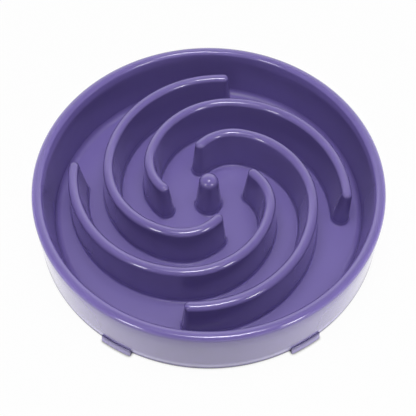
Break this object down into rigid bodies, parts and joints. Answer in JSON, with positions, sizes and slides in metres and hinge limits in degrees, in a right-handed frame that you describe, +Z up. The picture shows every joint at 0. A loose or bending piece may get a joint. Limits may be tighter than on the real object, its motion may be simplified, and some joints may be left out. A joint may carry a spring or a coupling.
{
  "type": "slow feeder bowl",
  "caption": "Round moulded pet bowl with a rounded rim, spiral ridges and a domed centre post that slow eating, standing on rubber feet clipped to its skirt.",
  "frame": {"origin": "on the table under the centre of the bowl", "axes": "+Z up along the bowl's axis, -Y towards the viewer, +X to the viewer's right"},
  "size_m": [0.2742, 0.2688, 0.0486],
  "materials": {
    "bowl": "gloss",
    "feet": "satin"
  },
  "bodies": {
    "root": {"bowl": "bowl", "foot_right": "feet", "foot_rear_right": "feet", "foot_rear_left": "feet", "foot_left": "feet", "foot_front_left": "feet", "foot_front_right": "feet"}
  },
  "joints": []
}
